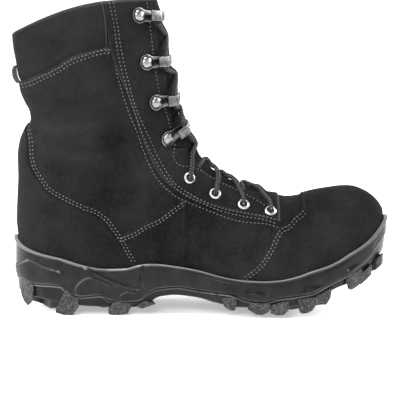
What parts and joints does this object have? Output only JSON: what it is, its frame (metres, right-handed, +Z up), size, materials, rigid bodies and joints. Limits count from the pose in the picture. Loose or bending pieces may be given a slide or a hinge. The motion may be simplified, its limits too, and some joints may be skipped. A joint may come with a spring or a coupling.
{
  "type": "laced boot",
  "caption": "High laced boot for the right foot, with a hollow suede upper, padded cuff, speed hooks, eyelets and a deep lugged rubber sole.",
  "frame": {"origin": "middle of the whole boot's box, on the floor", "axes": "+X from heel to toe, +Y towards the inner side of the foot, +Z up from the floor"},
  "size_m": [0.313, 0.1082, 0.2562],
  "materials": {
    "suede": "black nubbed suede with a short nap",
    "suede_overlay": "black suede panel, double stitched",
    "padded_suede": "soft padded black suede",
    "webbing": "woven black tape",
    "tongue_leather": "black suede gusset and tongue",
    "lining": "dark mesh lining",
    "outsole_rubber": "dark grey rubber with grained lugs",
    "midsole_rubber": "satin dark grey rubber",
    "nickel": "nickel plated steel",
    "lace_cord": "round braided black lace with grey flecks"
  },
  "bodies": {
    "root": {"upper": "suede", "eyestay_lateral": "suede_overlay", "eyestay_medial": "suede_overlay", "cuff": "padded_suede", "heel_counter": "suede_overlay", "pull_tab": "webbing", "tongue": "tongue_leather", "insole": "lining", "outsole": "outsole_rubber", "midsole": "midsole_rubber", "eyelet_lateral_1": "nickel", "eyelet_lateral_2": "nickel", "eyelet_lateral_3": "nickel", "eyelet_lateral_4": "nickel", "hook_lateral_1": "nickel", "hook_lateral_2": "nickel", "hook_lateral_3": "nickel", "hook_lateral_4": "nickel", "eyelet_medial_1": "nickel", "eyelet_medial_2": "nickel", "eyelet_medial_3": "nickel", "eyelet_medial_4": "nickel", "hook_medial_1": "nickel", "hook_medial_2": "nickel", "hook_medial_3": "nickel", "hook_medial_4": "nickel", "lace_bar": "lace_cord", "lace_cross_1": "lace_cord", "lace_cross_2": "lace_cord", "lace_cross_3": "lace_cord", "lace_cross_4": "lace_cord", "lace_cross_5": "lace_cord", "lace_cross_6": "lace_cord", "lace_cross_7": "lace_cord"}
  },
  "joints": []
}
